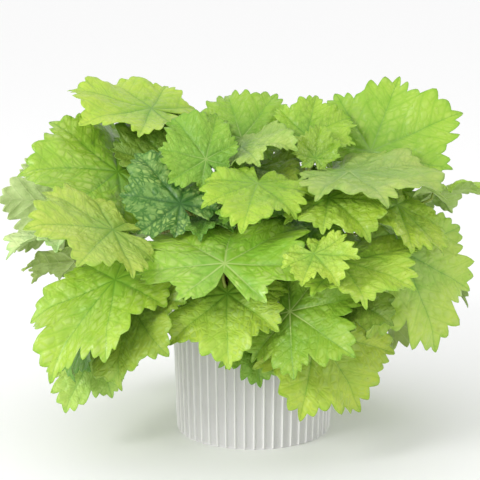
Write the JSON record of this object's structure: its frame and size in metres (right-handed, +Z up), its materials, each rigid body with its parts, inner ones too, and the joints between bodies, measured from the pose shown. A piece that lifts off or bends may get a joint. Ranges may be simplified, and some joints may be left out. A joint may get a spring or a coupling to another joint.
{
  "type": "potted heuchera plant",
  "caption": "Dense mound of broad, lobed and toothed lime green leaves on thin stalks, growing from soil in a round white pot with a vertically ribbed wall.",
  "frame": {"origin": "centre of the pot's flat underside", "axes": "+Z up along the pot's axis, -Y towards the side on which the leaves hang lowest over the pot, +X to the right of it"},
  "size_m": [0.3825, 0.328, 0.282],
  "materials": {
    "pot": "matt white, ribbed from top to bottom",
    "soil": "loose dark potting mix of peat and bark",
    "leaf": "lime green, slightly glossy, puckered between the veins"
  },
  "bodies": {
    "root": {"pot": "pot", "soil": "soil", "leaf_01": "leaf", "leaf_02": "leaf", "leaf_03": "leaf", "leaf_04": "leaf", "leaf_05": "leaf", "leaf_06": "leaf", "leaf_07": "leaf", "leaf_08": "leaf", "leaf_09": "leaf", "leaf_10": "leaf", "leaf_11": "leaf", "leaf_12": "leaf", "leaf_13": "leaf", "leaf_14": "leaf", "leaf_15": "leaf", "leaf_16": "leaf", "leaf_17": "leaf", "leaf_18": "leaf", "leaf_19": "leaf", "leaf_20": "leaf", "leaf_21": "leaf", "leaf_22": "leaf", "leaf_23": "leaf", "leaf_24": "leaf", "leaf_25": "leaf", "leaf_26": "leaf", "leaf_27": "leaf", "leaf_28": "leaf", "leaf_29": "leaf", "leaf_30": "leaf", "leaf_31": "leaf", "leaf_32": "leaf", "leaf_33": "leaf", "leaf_34": "leaf", "leaf_35": "leaf", "leaf_36": "leaf", "leaf_37": "leaf", "leaf_38": "leaf", "leaf_39": "leaf", "leaf_40": "leaf", "leaf_41": "leaf", "leaf_42": "leaf", "leaf_43": "leaf", "leaf_44": "leaf", "leaf_45": "leaf", "leaf_46": "leaf", "leaf_47": "leaf", "leaf_48": "leaf", "leaf_49": "leaf", "leaf_50": "leaf", "leaf_51": "leaf", "leaf_52": "leaf", "leaf_53": "leaf", "leaf_54": "leaf", "leaf_55": "leaf", "leaf_56": "leaf", "leaf_57": "leaf"}
  },
  "joints": []
}
